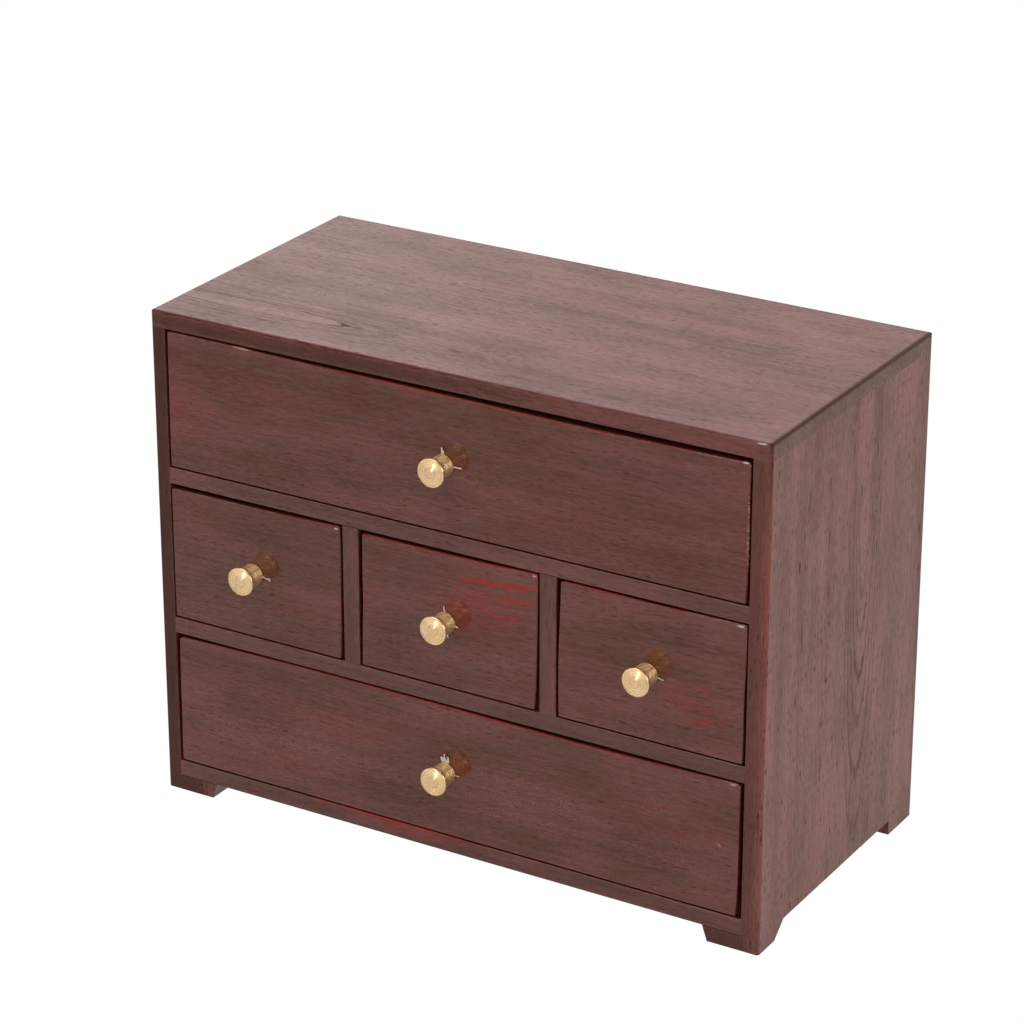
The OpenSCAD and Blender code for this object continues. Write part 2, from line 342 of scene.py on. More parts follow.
# %% [markdown]
# A saw cuts straight through a log whose rings are nearly round. On the board's face the rings
# then show as straight lines far from the log's heart and as nested arches above it, because
# the board leans a little against the log. That is the whole model: the distance from a slanted
# heart line, cut into rings. Pores are short dark dashes along the grain, crowded where a ring
# ends. Over both lie flecks, fibres, streaks and bands, each longer than the one before, and
# broad clouds.

# %% The grain of one board
# How far apart in the pattern two boards are cut, in millimetres
NEXT_BOARD = 97.0


def grain_of(place, order, seed, heart=-400.0, depth=60.0, lean=0.1, ring=3.2, tilt=0.0, sway=7.0,
             pores=1.0):
    """Pattern of a board. order names the axes along the grain, across it and into the board.
    heart is where the log's heart lies across the board, depth how far it lies behind the face
    and lean how fast it comes nearer along the grain. ring is the width of a ring, tilt how much
    the grain slopes, sway how far it wanders and pores how strongly they show."""
    axes = dict(zip("xyz", parts(place)))
    along, across, deep = (axes[name] for name in order)
    across = across - along * tilt
    deep = deep + NEXT_BOARD * seed
    still = joined(along, across, deep)
    wander = noise(still, (110, 30, 30))
    bent = joined(along, across + wander * sway, deep)
    board = SimpleNamespace(place=place, bent=bent)
    board.fleck = noise(bent, (4.0, 0.75, 0.75), detail=2, roughness=0.6)
    board.fibre = noise(bent, (16, 0.9, 0.9), detail=3, roughness=0.65)
    board.streak = noise(bent, (46, 2.4, 2.4), detail=3, roughness=0.6)
    board.band = noise(bent, (190, 11, 11), detail=2)
    board.cloud = noise(bent, (52, 20, 20), detail=3, roughness=0.6)
    off = across - heart + wander * sway
    down = along * lean + depth
    from_heart = place.shade.maths("SQRT", off * off + down * down)
    ripple = noise(still, (14, 3.0, 3.0), detail=2)
    phase = place.shade.maths("FRACT", (from_heart + ripple * 1.8) / ring)
    board.late = rise(phase, 0.3, 0.88) * rise(phase, 1.0, 0.9)
    crowd = rise(board.late * 0.25 + board.band * 0.9 + board.streak * 0.8, -0.22, 0.32)
    distance, chance = cells_of(bent, (5.0, 0.65, 0.65))
    fine_distance, fine_chance = cells_of(bent, (2.6, 0.5, 0.5))
    long_pore = rise(distance / (crowd * rise(chance, 0.35, 1.1) * 0.6 + 0.01), 1.0, 0.3)
    fine_pore = rise(fine_distance / (crowd * fine_chance * 0.5 + 0.02), 1.0, 0.3)
    board.pore = most(long_pore, fine_pore * 0.7) * pores
    facing = dict(zip("xyz", parts(place.shade.node("TexCoord", output="Normal"))))[order[0]]
    board.end_grain = rise(place.shade.maths("ABSOLUTE", facing), 0.6, 0.9)
    return board


print("A board's grain has fibres, bands, rings and pores, and the next board is", NEXT_BOARD, "mm on")

# %% [markdown]
# ## Stain, lacquer and wear
# One dark red-brown stain covers everything that shows. Where a cloth or a thumb has rubbed the
# edges, the red of the stain shines through, and corners that have been knocked are pale. How
# far a point is from an edge is easy in a box: of its distances to the three pairs of faces,
# the smallest is the face that it lies on, and the middle one is the nearest edge. A drawer
# front that is no true box brings the distances with it, in a UV map.

# %% Distance from the nearest edge
def edge_distance(place, worn):
    """worn is a box, or the name of a UV map of the distances to side edges and to level edges."""
    if isinstance(worn, str):
        beside, level_gap, _ = parts(place.shade.node("UVMap", {"uv_map": worn}))
        gaps = [parts(place)[1] - front_y, beside, level_gap]
    else:
        gaps = [least(axis - low, high - axis) for axis, low, high in zip(parts(place), *worn)]
    first, second, third = gaps
    return most(least(first, second), least(most(first, second), third))


print("Edges are found by the middle of three distances")

# %% [markdown]
# Some marks have their own place: a crimson patch, a chip, a scratch, and a few spots of painted
# highlight and lines of painted shade. Each is an oval with a colour and a strength, and grit breaks
# it up along the grain so that it looks like wear and not like a sticker. Where dark stain lies thick,
# where shade is painted dark, or where the red is laid bare, the gloss is gone too, and `MATT` says
# how much of it each colour takes away.

# %% Marks with a place of their own
BRIGHT_RED = (0.36, 0.016, 0.010)
CRIMSON = (0.215, 0.014, 0.010)
PALE = (0.66, 0.56, 0.50)
TAN = (0.48, 0.23, 0.12)
DARK = (0.024, 0.007, 0.004)
ROSE = (0.20, 0.048, 0.036)
OLIVE = (0.045, 0.018, 0.010)
PLUM = (0.062, 0.012, 0.013)
UMBER = (0.060, 0.018, 0.010)
RUBBED = (0.18, 0.013, 0.011)
MATT = {DARK: 0.6, OLIVE: 1.0, PLUM: 0.9, UMBER: 0.9, BRIGHT_RED: 0.6}


def mark(colour, centre, reach, strength, broken=0.0, slant=0.0, hollow=0.0):
    """An oval's place and reach, in millimetres. broken is how much of it the grit takes away,
    slant turns it about Y, and hollow leaves only its outline."""
    return SimpleNamespace(
        colour=colour, centre=centre, reach=reach, strength=strength, broken=broken, hollow=hollow,
        turn=(0, math.radians(slant), 0),
    )


def add_marks(colour, board, marks):
    """The colour with the marks on it, and how far they take the gloss away."""
    if any(one.broken for one in marks):
        grit = rise(noise(board.bent, (9.0, 0.9, 0.9), detail=3, roughness=0.7), 0.14, -0.14)
    matt = 0.0
    for one in marks:
        where = oval(board.place, one.centre, one.reach, one.turn, one.hollow)
        if one.broken:
            where = rise(where - grit * one.broken, 0.0, 0.7)
        colour = mix(where * one.strength, colour, one.colour)
        if one.colour in MATT:
            matt = where * (one.strength * MATT[one.colour]) + matt
    return colour, matt


print("Marks can be placed on a board")

# %% [markdown]
# The stain took unevenly: in some places it is a greenish brown, in others the colour of wine.
# Streaks and clouds decide between the two, fibres make every tone a little lighter or darker,
# and the pores, where stain gathered, are darkest.

# %% Stain
BROWN_STAIN = (0.120, 0.030, 0.014)
WINE_STAIN = (0.152, 0.028, 0.017)
PORE = (0.030, 0.009, 0.006)


def stain_colour(board, level, wine, glow, figure):
    """level makes the stain lighter, wine moves it from brown to red, and glow adds bright
    streaks. figure is how far the grain shows in it."""
    redness = board.cloud + board.streak * 0.4 + board.band * 0.5 + wine - board.end_grain * 0.15
    hue = mix(rise(redness, -0.16, 0.16), BROWN_STAIN, WINE_STAIN)
    if glow:
        tongue = noise(board.bent, (30, 2.6, 2.6), detail=3, roughness=0.6) + board.cloud * 0.6
        hue = mix(rise(tongue, 0.02, 0.22) * glow, hue, CRIMSON)
    grain = board.fleck * 0.45 + board.fibre * 0.3 + board.streak * 0.35 + board.band * 0.3
    tone = (grain - board.late * 0.1) * figure + level
    tone = tone * (1 - board.end_grain * 0.15)
    colour = hue.shade.node("VectorMath", {"operation": "SCALE"}, {0: hue, "Scale": tone})
    return mix(board.pore * 0.55, colour, PORE)


print("Stain is a mix of brown and wine")

# %% [markdown]
# Inside the cabinet and on the drawer walls the wood is bare, apart from a ragged rim where the
# brush ran over the edge. `bare_inside` says where: within a box, and further back than a line
# that the noise makes uneven. The box reaches a skin's depth into the boards round it, so that
# their inner faces lie in it.

# %% Where the wood is bare
OVERRUN = 24.0
SKIN = 0.2
RAW = (0.46, 0.29, 0.17)
RAW_DARK = (0.33, 0.195, 0.105)
RAW_PORE = (0.20, 0.11, 0.06)


def behind(y):
    """The box of everything further back than y."""
    return (-FAR, y, -FAR), (FAR, FAR, FAR)


EVERYWHERE = behind(-FAR)


def bare_inside(board, low, high, rag=32.0):
    """1 on bare wood. rag is how far the edge of the stain wanders, in millimetres."""
    x, y, z = parts(board.place)
    margin = least(least(x - low[0], high[0] - x), least(z - low[2], high[2] - z))
    uneven = noise(board.place, (10, 30, 10), detail=3, roughness=0.65) * rag
    return rise(margin, 0.0, SKIN) * rise(y - low[1] + uneven, -1.5, 1.5)


def raw_colour(board):
    tone = rise(board.fibre + board.streak * 0.8 + board.band * 0.6 - board.late * 0.25, -0.3, 0.2)
    return mix(board.pore * 0.5, mix(tone, RAW_DARK, RAW), RAW_PORE)


print("Bare wood begins", OVERRUN, "mm behind the front")

# %% [markdown]
# Polish that has dried in the pores leaves pale specks in irregular patches. They are grains of
# a Voronoi pattern, most of them left out and the rest of different strength, and only some
# streaks of the board hold them.

# %% Dried polish
SPECK = 0.15


def dried_polish(board, regions):
    """How much polish lies at a point. A region is a mark whose colour isn't used."""
    distance, chance = cells_of(board.place, (1.0, 0.8, 0.7))
    amount = 0.0
    for one in regions:
        amount = oval(board.place, one.centre, one.reach) * one.strength + amount
    amount = amount * rise(board.streak + board.cloud * 0.7, -0.1, 0.15)
    chosen = board.place.shade.node("Clamp", None, {0: (chance + amount - 1) * 3})
    return rise(distance, 0.42, 0.14) * chosen * SPECK


print("A speck of polish takes", SPECK, "of the pale colour")

# %% [markdown]
# Every finish ends in the same shader. What changes over a surface is linked to its sockets, and
# what is the same all over is set on them. Lacquered wood gets most of its gloss from the clear
# coat, so its own shine is kept low.

# %% The shader
def finish(shade, colour, roughness, relief, metallic=0.0, coat=0.0, coat_roughness=0.3):
    """Relief is in millimetres, and coat is how thick the lacquer lies."""
    bump = shade.node("Bump", None, {"Height": relief, "Distance": MM, "Strength": 1})
    surface = shade.node("BsdfPrincipled", None, {
        "Base Color": colour, "Roughness": roughness, "Metallic": metallic, "Normal": bump,
        "IOR": 1.5, "Specular IOR Level": 0.1 if coat else 0.5,
        "Coat Weight": coat, "Coat Roughness": coat_roughness, "Coat IOR": 1.6,
    })
    shade.node("OutputMaterial", inputs={"Surface": surface})
    return shade.owner


print("The shader is ready")

# %% [markdown]
# An edge wears in two ways. Rubbing takes the dark stain off in a thin broken line, and knocks leave
# short pale spots. Where hands rub most, the red is brighter; along the top edges of the drawer fronts
# that brighter red is partly a painted highlight, where the rounding catches the light from above.

# %% Rubbed and knocked edges
# How far from an edge the red line and the knocks fade out, and from where they are full, in
# millimetres
RUB_REACH = (0.75, 0.3)
KNOCK_REACH = (0.6, 0.2)


def rubbed_edges(colour, board, worn, rubs_and_highlights, rub):
    """The colour with red lines where an edge is rubbed through, and where that is. The list of ovals
    marks where there is more of it and the red is brighter; on the top edges of the fronts that
    brighter red is partly a painted highlight."""
    edge = edge_distance(board.place, worn)
    flaky = noise(board.place, (7, 7, 7), detail=4, roughness=0.75)
    amount = rub
    for one in rubs_and_highlights:
        amount = oval(board.place, one.centre, one.reach) * one.strength + amount
    rubbed = rise(edge, *RUB_REACH) * rise(flaky + amount * 0.3, 0.04, 0.26)
    red = mix(rise(amount + flaky, 0.4, 1.7) * 0.8, RUBBED, BRIGHT_RED) if rubs_and_highlights else RUBBED
    knocked = rise(edge, *KNOCK_REACH) * rise(flaky + amount * 0.05, 0.25, 0.30)
    return mix(knocked * 0.6, mix(rubbed * 0.85, colour, red), PALE), rubbed


print("Red lines along the edges are up to", RUB_REACH[0], "mm wide")

# %% [markdown]
# Now a whole finish can be put together. `lacquered` makes one material: stain, marks, rubbed
# edges, bare wood inside, and the gloss and relief of the lacquer. The lacquer is the shader's
# clear coat. It lies thick on dense fibres, thin in open pores and on rubbed edges, and so the
# grain shows in the gloss even more than in the colour.

# %% Lacquered wood
def lacquered(name, order, seed, worn, bare, level=1.0, wine=0.0, glow=0.0, figure=0.6, rub=0.1,
              rubs_and_highlights=(), marks=(), polish=(), relief=1.0, lacquer=0.74, shine=1.3, dull=0.30, **grain):
    """worn says where edges are rubbed and bare where there is no stain. rub is how much the edges
    are rubbed and relief how deep the grain is. lacquer is how thick the lacquer lies, shine how
    unevenly and dull how rough it is."""
    wood = Shade(bpy.data.materials.new(name))
    board = grain_of(millimetres(wood), order, seed, **grain)
    colour, matt = add_marks(stain_colour(board, level, wine, glow, figure), board, marks)
    colour, rubbed = rubbed_edges(colour, board, worn, rubs_and_highlights, rub)
    if polish:
        colour = mix(dried_polish(board, polish), colour, PALE)
    uneven = board.fleck * 0.8 + board.fibre * 0.4 + board.streak * 0.35 + board.band * 0.4
    gloss = lacquer + (uneven + board.cloud * 0.5) * shine - board.pore * 0.6 - board.end_grain * 0.1
    height = board.fibre * 0.03 + board.streak * 0.08 + board.cloud * 0.25 - board.pore * 0.04
    raw = bare_inside(board, *bare)
    colour = mix(raw, colour, raw_colour(board))
    roughness = 0.5 + board.pore * 0.2 + raw * 0.2
    coat = wood.node("Clamp", None, {0: gloss * (1 - matt) * (1 - rubbed * 0.8) * (1 - raw)})
    return finish(wood, colour, roughness, height * relief, coat=coat, coat_roughness=dull)


def dress(node, material):
    """A node whose shape is right keeps its mesh and gets a better material."""
    slots = nodes[node].data.materials
    slots.clear()
    slots.append(material)


print("The finish is ready")

# %% [markdown]
# ## Boards with broken edges
# A saw-sharp edge looks drawn. A merged copy of each board gets its outer edges rounded, as
# sandpaper leaves them, and stands in for the node. The copy comes from the frame's own mesh, so
# it fits. A rounded edge also catches other light than the two faces that it joins.

# %% Copies of nodes that may be reshaped
# Points nearer to each other than this are one point, in metres
WELD = 1e-6
FLAT_ANGLE = math.radians(0.5)


def merged_copy(node):
    """The node's shape as a bmesh with its loose triangles joined into flat faces."""
    shape = bmesh.new()
    shape.from_mesh(nodes[node].data)
    bmesh.ops.remove_doubles(shape, verts=shape.verts, dist=WELD)
    bmesh.ops.dissolve_limit(shape, angle_limit=FLAT_ANGLE, verts=shape.verts, edges=shape.edges)
    return shape


def add_piece(name, shape, material, body, replaced=None):
    """Makes an object of the bmesh, hangs it on its body and hides the node that it replaces."""
    mesh = bpy.data.meshes.new(name)
    shape.to_mesh(mesh)
    shape.free()
    mesh.materials.append(material)
    piece = bpy.data.objects.new(name, mesh)
    bpy.context.scene.collection.objects.link(piece)
    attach(piece, body)
    if replaced:
        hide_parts(replaced)
    return piece


print("Nodes can be copied, and copies can take their place")

# %% [markdown]
# A board's corners are found by its faces: an edge whose two ends both lie on two of the given
# faces is one to round. Bevel then puts four narrow strips in its place.

# %% Round the edges of a board
# How near to a face a point has to be to lie on it, in millimetres
TOUCH = 0.02
# The largest face that is shaded smooth, in square metres
SMOOTH_AREA = 1e-4


def sanded(node, material, radius, faces):
    """A copy of a board, rounded where two of the faces meet. Each face is an axis and a value."""
    shape = merged_copy(node)
    edges = []
    for edge in shape.edges:
        ends = [vert.co / MM for vert in edge.verts]
        touched = [all(abs(end[axis] - value) < TOUCH for end in ends) for axis, value in faces]
        if sum(touched) >= 2:
            edges.append(edge)
    bmesh.ops.bevel(
        shape, geom=edges, offset=radius * MM, offset_type="OFFSET", affect="EDGES", segments=4,
        profile=0.5, material=-1,
    )
    for face in shape.faces:
        face.smooth = face.calc_area() < SMOOTH_AREA and len(face.verts) == 4
    add_piece(node + "_sanded", shape, material, "cabinet", node)


OUTER_FACES = [
    (0, outer_low.x), (0, outer_high.x), (1, front_y), (1, outer_high.y), (2, outer_high.z),
]
ROUNDING = 1.1
print("Outer edges are rounded by", ROUNDING, "mm")

# %% [markdown]
# ## The cabinet's boards
# The top has its grain from left to right. Its marks were noted down in millimetres: a dark band and
# two pale strips along it, and nested arches that end in small knots. Its right half is painted a
# little darker and duller as painted shade. A dark matt line along the right edge is painted shade
# too, where the rounded edge would otherwise mirror bright light. Stain gathered in the right front
# corner, and on the front edge it is dark with thin lines of red. A pale spot near the right end of
# the front edge is a painted highlight. An arch is the right end of a long hollow oval that closes
# outside the board.

# %% The marks of the top board
inner_low = Vector((box_of("left_side")[1].x, front_y, box_of("bottom_board")[1].z))
inner_high = Vector((box_of("right_side")[0].x, outer_high.y, box_of("top_board")[0].z))
INSIDE = (
    (inner_low.x - SKIN, front_y + OVERRUN, inner_low.z - SKIN),
    (inner_high.x + SKIN, FAR, inner_high.z + SKIN),
)
top_z = outer_high.z
right_x = outer_high.x

TOP_MARKS = [
    mark(DARK, (10, 24, top_z), (190, 9, FAR), 0.26, 0.6),
    # Painted shade: the right half of the top is painted a little darker and less glossy
    mark(DARK, (95, -5, top_z), (90, 55, FAR), 0.1, 0.4),
    mark(ROSE, (20, 38, top_z), (170, 8, FAR), 0.35),
    mark(ROSE, (67, 13, top_z), (17, 7, FAR), 0.5),
    mark(ROSE, (-86, -43, top_z), (17, 5, FAR), 0.5),
    mark(DARK, (24, -58, top_z), (17, 4, FAR), 0.5, 0.7),
    mark(DARK, (70, -57, top_z), (14, 4, FAR), 0.4, 0.7),
    mark(OLIVE, (-70, front_y, top_z - 4), (200, 1.0, 7), 0.55, 0.3),
    # Painted shade: a dark, matt line along the right edge, where the rounded edge would mirror bright
    # light
    mark(OLIVE, (right_x, 0, top_z), (2.6, FAR, 2.2), 1.0),
    mark(OLIVE, (right_x, front_y, top_z), (1.8, 1.8, 12), 1.0),
    mark(PLUM, (0, front_y, top_z), (FAR, 1.6, 1.4), 0.9, 0.25),
    mark(RUBBED, (75, front_y, top_z - 1.5), (105, 1.0, 0.6), 0.8, 0.6),
    mark(RUBBED, (-90, front_y, top_z - 1.2), (75, 1.0, 0.6), 0.6, 0.7),
    # Painted highlight: a pale spot on the chipped right end of the front edge
    mark(PALE, (144.5, front_y, top_z - 0.6), (4.5, 1.3, 0.8), 0.8, 0.8),
]
# Tips of the arches: where they point, how long and how wide they are, and how dark
for tip_x, tip_y, length, width, strength in [
    (-67, -42.5, 46, 6.0, 0.77), (-60, -42.5, 52, 8.5, 0.42), (-45, -43, 65, 11.5, 0.28),
    (-11, -44.5, 90, 6.5, 0.21), (2, -45, 100, 9.5, 0.21),
]:
    TOP_MARKS.append(
        mark(UMBER, (tip_x - length, tip_y, top_z), (length, width, FAR), strength, 0.7, hollow=0.12)
    )
# Knots at two of the tips, each with a fainter tail to its right
for knot_x, knot_y, strength in [(-67, -42.5, 0.65), (-11, -44.5, 0.45)]:
    TOP_MARKS.append(mark(UMBER, (knot_x, knot_y, top_z), (5.5, 2.4, FAR), strength, 0.5))
    TOP_MARKS.append(
        mark(UMBER, (knot_x + 9, knot_y - 0.5, top_z), (14, 2.6, FAR), strength * 0.6, 0.7)
    )
print("The top board has", len(TOP_MARKS), "marks")

# %% The top board
sanded("top_board", lacquered(
    "stained top", "xyz", 1, ((-FAR, front_y, -FAR), outer_high), INSIDE,
    heart=-43.5, depth=22, lean=0.06, ring=3.4, sway=5, rub=-0.1, marks=TOP_MARKS, lacquer=0.71,
), ROUNDING, OUTER_FACES)
print("The top board has its grain from left to right")

# %% [markdown]
# The sides have their grain from top to bottom. On the right one, arches point down in the middle,
# and slim streaks of dark fibre stand round them. Both front corners are dark with old stain, and
# along the right one a thin red line is rubbed through.

# %% The marks of the right side
# Where the log's heart lies across the side boards, in millimetres
SIDE_HEART = 18.8
SIDE_MARKS = [
    mark(UMBER, (right_x, -13, 125), (FAR, 7, 150), 0.3, 0.9),
    mark(UMBER, (right_x, -38, 130), (FAR, 5, 120), 0.25, 0.9),
    mark(UMBER, (right_x, -56, 110), (FAR, 4, 90), 0.2, 0.9),
    mark(UMBER, (right_x, 40, 60), (FAR, 9, 60), 0.2, 0.9),
    mark(UMBER, (right_x, 84, 120), (FAR, 22, 200), 0.3, 0.3),
    mark(DARK, (right_x, 4, 208.8), (FAR, 1.2, 3.2), 0.8, 0.2),
    mark(DARK, (right_x, 26.5, 198.4), (FAR, 1.1, 2.6), 0.9, 0.2),
    mark(TAN, (right_x, 50.1, 191.9), (FAR, 1.2, 1.0), 0.9),
    mark(UMBER, (right_x, -39.7, 10), (FAR, 1.2, 3.2), 0.8, 0.2),
    mark(OLIVE, (inner_high.x, front_y, 115), (13.0, 2.0, FAR), 0.4, 0.4),
    mark(CRIMSON, (right_x - 1.5, front_y, 160), (2.5, 1.0, 70), 0.2, 0.3),
    mark(OLIVE, (right_x, front_y, 225), (1.6, 1.6, 32), 1.0),
    mark(RUBBED, (right_x - 0.3, front_y, 100), (0.7, 0.8, 125), 0.6, 0.8),
    mark(BRIGHT_RED, (right_x - 0.5, front_y, 165), (0.55, 0.8, 50), 0.7, 0.8),
]
# Arches that point down: their tips, how long and how wide they are, and how dark
for tip_z, length, width, strength in [
    (131, 65, 5.5, 0.45), (113, 75, 7.5, 0.525), (93, 85, 9.5, 0.675), (72, 95, 11.0, 0.525),
    (47, 110, 13.0, 0.6), (20, 125, 15.0, 0.45),
]:
    centre = (right_x, SIDE_HEART, tip_z + length)
    SIDE_MARKS.append(mark(UMBER, centre, (FAR, width, length), strength, 0.7, hollow=0.07))
# Slim streaks of dark fibre: where along the depth and how high, how long and how dark
for streak_y, streak_z, length, strength in [
    (-33, 195, 8, 0.6), (-15, 193, 8, 0.48), (-14, 170, 10, 0.6), (-14, 143, 10, 0.48),
    (-41, 166, 6, 1.08), (-37, 178, 6, 0.48), (15, 180, 6, 0.6), (63, 136, 7, 0.48),
    (74, 141, 6, 0.84), (75, 121, 5, 0.72), (-37, 133, 11, 0.6), (46, 115, 5, 0.48),
    (-41, 106, 6, 0.72), (-17, 86, 6, 0.6), (-16, 65, 13, 0.48), (14, 36, 11, 0.48),
]:
    SIDE_MARKS.append(mark(UMBER, (right_x, streak_y, streak_z), (FAR, 1.7, length), strength, 0.5))
print("The right side has", len(SIDE_MARKS), "marks")

# %% The two sides
side_look = dict(
    heart=SIDE_HEART, depth=40, lean=-0.1, ring=2.6, sway=4, pores=1.3, bare=INSIDE, level=1.12,
    wine=-0.02, lacquer=0.73,
)
sanded("right_side", lacquered(
    "stained right side", "zyx", 2, ((inner_high.x, front_y, -FAR), (right_x, outer_high.y, FAR)),
    rub=-0.3, marks=SIDE_MARKS, **side_look,
), ROUNDING, OUTER_FACES)
sanded("left_side", lacquered(
    "stained left side", "zyx", 5, ((outer_low.x, front_y, -FAR), (inner_low.x, outer_high.y, FAR)),
    marks=[mark(OLIVE, (outer_low.x + 3, front_y, 115), (9, 2.0, FAR), 0.75, 0.2)], **side_look,
), ROUNDING, OUTER_FACES)
print("The sides have upright grain")

# %% [markdown]
# Shelves, dividers and the bottom board show only their front edges. Their two long front
# arrises are broken more finely than the outer ones. A bright red run marks the bottom board,
# where a cloth wiped most of the stain off.

# %% Shelves and dividers
SANDED = 0.45
frame_look = dict(level=0.90, wine=-0.10, glow=0.25, pores=0.8, bare=INSIDE, dull=0.15, rub=-0.2)
for seed, node in enumerate(["bottom_board", "lower_shelf", "upper_shelf"], start=11):
    low, high = box_of(node)
    red_run = [
        mark(CRIMSON, (-25, front_y, high.z - 2), (80, 2.5, 6), 0.7, 0.6),
        mark(BRIGHT_RED, (-30, front_y, high.z), (75, 2.5, 1.6), 0.9, 0.6),
    ]
    sanded(node, lacquered(
        "stained " + node.replace("_", " "), "xzy", seed,
        ((-FAR, low.y, low.z), (FAR, high.y, high.z)),
        marks=red_run if node == "bottom_board" else [], **frame_look,
    ), SANDED, [(1, low.y), (2, low.z), (2, high.z)])
for seed, node in enumerate(["left_divider", "right_divider"], start=21):
    low, high = box_of(node)
    sanded(node, lacquered(
        "stained " + node.replace("_", " "), "zxy", seed,
        ((low.x, low.y, -FAR), (high.x, high.y, FAR)), **frame_look,
    ), SANDED, [(1, low.y), (0, low.x), (0, high.x)])
print("Three inner boards and two dividers have broken edges")

# %% [markdown]
# The feet are cut from the same stock as the sides, with upright grain and the same stain. Their front
# faces are painted darker and matt, as painted shade. Sandpaper rounded them together with the box.

# %% The feet
foot_material = lacquered(
    "stained feet", "zyx", 31, ((outer_low.x, front_y, 0), (right_x, outer_high.y, FAR)),
    # Painted shade: the front faces of the front feet are darker and lose their gloss
    marks=[
        mark(OLIVE, (inner_high.x - 8, front_y, 0), (26, 2.0, FAR), 0.5, 0.4),
        mark(OLIVE, (outer_low.x + 10, front_y, 0), (26, 2.0, FAR), 0.7, 0.4),
    ],
    **side_look,
)
for node in ["foot_front_left", "foot_front_right", "foot_back_left", "foot_back_right"]:
    sanded(node, foot_material, ROUNDING, OUTER_FACES)
print("Four feet are stained")

# %% [markdown]
# ## Hand-fitted drawer fronts
# No two gaps are alike on a chest made by hand: the top drawer leaves 0.9 mm above its left end
# and almost 3 mm above its right. The gaps were measured along each edge, and in between they
# change evenly.

# %% The measured gaps
def opening_of(drawer):
    """Left, right and upper walls of a drawer's opening, in millimetres."""
    left = {"middle_drawer": "left_divider", "right_drawer": "right_divider"}.get(drawer, "left_side")
    right = {"left_drawer": "left_divider", "middle_drawer": "right_divider"}.get(drawer, "right_side")
    above = {"top_drawer": "top_board", "bottom_drawer": "lower_shelf"}.get(drawer, "upper_shelf")
    return box_of(left)[1].x, box_of(right)[0].x, box_of(above)[0].z


# Gaps in millimetres: above from left to right, and beside from the bottom up
GAPS = {
    "top_drawer": dict(
        above=[0.9, 1.1, 1.8, 1.8, 2.2, 2.6, 2.9, 2.7, 2.4],
        left=[0.5, 0.7, 1.0],
        right=[1.5, 1.2, 1.0],
    ),
    "left_drawer": dict(
        above=[2.1, 2.1, 2.1, 1.7, 1.0],
        left=[0.25, 0.25],
        right=[1.6, 1.3, 1.3, 1.0, 1.2],
    ),
    "middle_drawer": dict(
        above=[1.6, 1.65, 1.7, 1.5, 0.6],
        left=[0.8, 1.2, 1.7, 1.5, 1.7],
        right=[2.1, 1.5, 1.1, 0.9, 0.8],
    ),
    "right_drawer": dict(
        above=[0.9, 1.0, 1.3, 1.0, 0.7],
        left=[0.9, 0.7, 0.9, 1.4, 1.9],
        right=[1.2, 1.4, 1.3, 0.7, 0.6],
    ),
    "bottom_drawer": dict(
        above=[1.85, 1.0, 0.7, 0.9, 1.0, 1.5, 1.9, 1.5, 0.9],
        left=[0.7, 1.1, 1.2, 1.5],
        right=[2.5, 2.1, 2.0, 1.9],
    ),
}


def along_list(values, share):
    """The value at a share of the way along a list of evenly spaced values."""
    place = min(max(share, 0.0), 1.0) * (len(values) - 1)
    index = min(int(place), len(values) - 2)
    return values[index] + (values[index + 1] - values[index]) * (place - index)


print("Gaps are known for", len(GAPS), "fronts")

# %% [markdown]
# A copy of the front is cut across, twice for every measured gap, and a rim is cut off along its
# edges without being parted from it. The points of the rim then move to where the edge should
# be. The lower edge stays, because there the drawer runs. A UV map notes how far each point is
# from the new edges, so that the finish can rub them red.

# %% Move the edges of a front
RIM = 3.0
ROWS = 6
# A point this near to a cut lies on it, in metres
ON_CUT = 1e-7


def cut_across(shape, axis, values):
    """Adds a line of points across the shape at each value, in millimetres."""
    normal = Vector((axis == 0, axis == 1, axis == 2))
    for value in values:
        bmesh.ops.bisect_plane(
            shape, geom=shape.verts[:] + shape.edges[:] + shape.faces[:],
            plane_co=normal * value * MM, plane_no=normal, dist=ON_CUT,
        )


def fit_front(shape, drawer):
    """Moves the upper, left and right edges of a front to leave the measured gaps."""
    left, right, above = opening_of(drawer)
    low, high = box_of(drawer + "_front")
    gaps = GAPS[drawer]
    width, height = high.x - low.x, high.z - low.z
    columns = len(gaps["above"]) * 2
    upright_cuts = [low.x + width * i / columns for i in range(1, columns)]
    level_cuts = [low.z + height * i / ROWS for i in range(1, ROWS)]
    cut_across(shape, 0, [low.x + RIM] + upright_cuts + [high.x - RIM])
    cut_across(shape, 2, level_cuts + [high.z - RIM])
    for vert in shape.verts:
        x, z = vert.co.x / MM, vert.co.z / MM
        along, up = (x - low.x) / width, (z - low.z) / height
        if z > high.z - RIM:
            vert.co.z += (above - along_list(gaps["above"], along) - high.z) * MM
        if x < low.x + RIM:
            vert.co.x += (left + along_list(gaps["left"], up) - low.x) * MM
        if x > high.x - RIM:
            vert.co.x += (right - along_list(gaps["right"], up) - high.x) * MM


def note_rims(shape, drawer):
    """A UV map of how far each point is from the nearest side edge and the nearest level edge."""
    left, right, above = opening_of(drawer)
    low, high = box_of(drawer + "_front")
    gaps = GAPS[drawer]
    layer = shape.loops.layers.uv.new("rims")
    for face in shape.faces:
        for loop in face.loops:
            x, z = loop.vert.co.x / MM, loop.vert.co.z / MM
            along, up = (x - low.x) / (high.x - low.x), (z - low.z) / (high.z - low.z)
            from_left = x - left - along_list(gaps["left"], up)
            from_right = right - along_list(gaps["right"], up) - x
            from_top = above - along_list(gaps["above"], along) - z
            loop[layer].uv = (min(from_left, from_right), min(z - low.z, from_top))


print("Edges within", RIM, "mm move with the gap")

